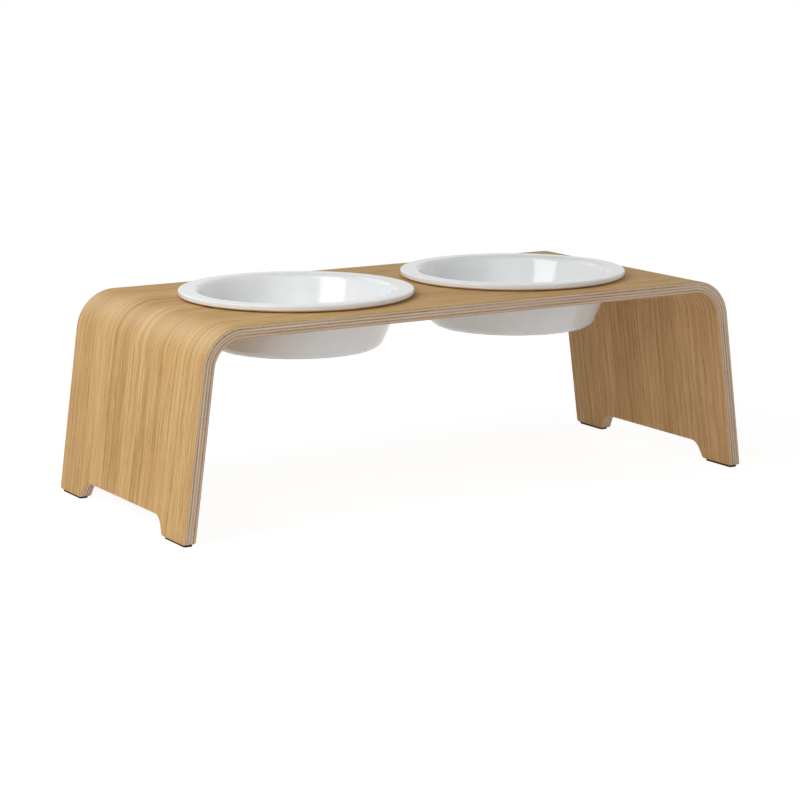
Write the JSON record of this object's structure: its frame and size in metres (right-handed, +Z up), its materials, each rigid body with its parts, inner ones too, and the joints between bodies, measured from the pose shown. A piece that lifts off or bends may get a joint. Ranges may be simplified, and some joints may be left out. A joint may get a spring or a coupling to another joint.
{
  "type": "elevated dog feeder",
  "caption": "Low bench of bent plywood with splayed legs that holds round glazed bowls by their rims at a dog's eating height.",
  "frame": {"origin": "on the floor, midway between the four feet", "axes": "+X along the bench to its right end, -Y to its front, +Z up"},
  "size_m": [0.5572, 0.236, 0.1785],
  "materials": {
    "oak_veneer": "satin lacquered oak veneer",
    "long_core": "beech ply edge, grain along the board",
    "cross_core": "beech ply edge, end grain",
    "white_glaze": "glossy white glaze",
    "foot_pad": "matt soft pad"
  },
  "bodies": {
    "bench": {"outer_face_veneer": "oak_veneer", "long_ply_1": "long_core", "cross_ply_1": "cross_core", "long_ply_2": "long_core", "cross_ply_2": "cross_core", "long_ply_3": "long_core", "cross_ply_3": "cross_core", "long_ply_4": "long_core", "inner_face_veneer": "oak_veneer", "left_front_pad": "foot_pad", "left_back_pad": "foot_pad", "right_front_pad": "foot_pad", "right_back_pad": "foot_pad"},
    "left_bowl": {"left_bowl": "white_glaze"},
    "right_bowl": {"right_bowl": "white_glaze"}
  },
  "joints": [
    {"name": "left_bowl_lift", "type": "slide", "parent": "bench", "child": "left_bowl", "axis": [0, 0, 1], "range_m": [0, 0.08]},
    {"name": "right_bowl_lift", "type": "slide", "parent": "bench", "child": "right_bowl", "axis": [0, 0, 1], "range_m": [0, 0.08]}
  ]
}
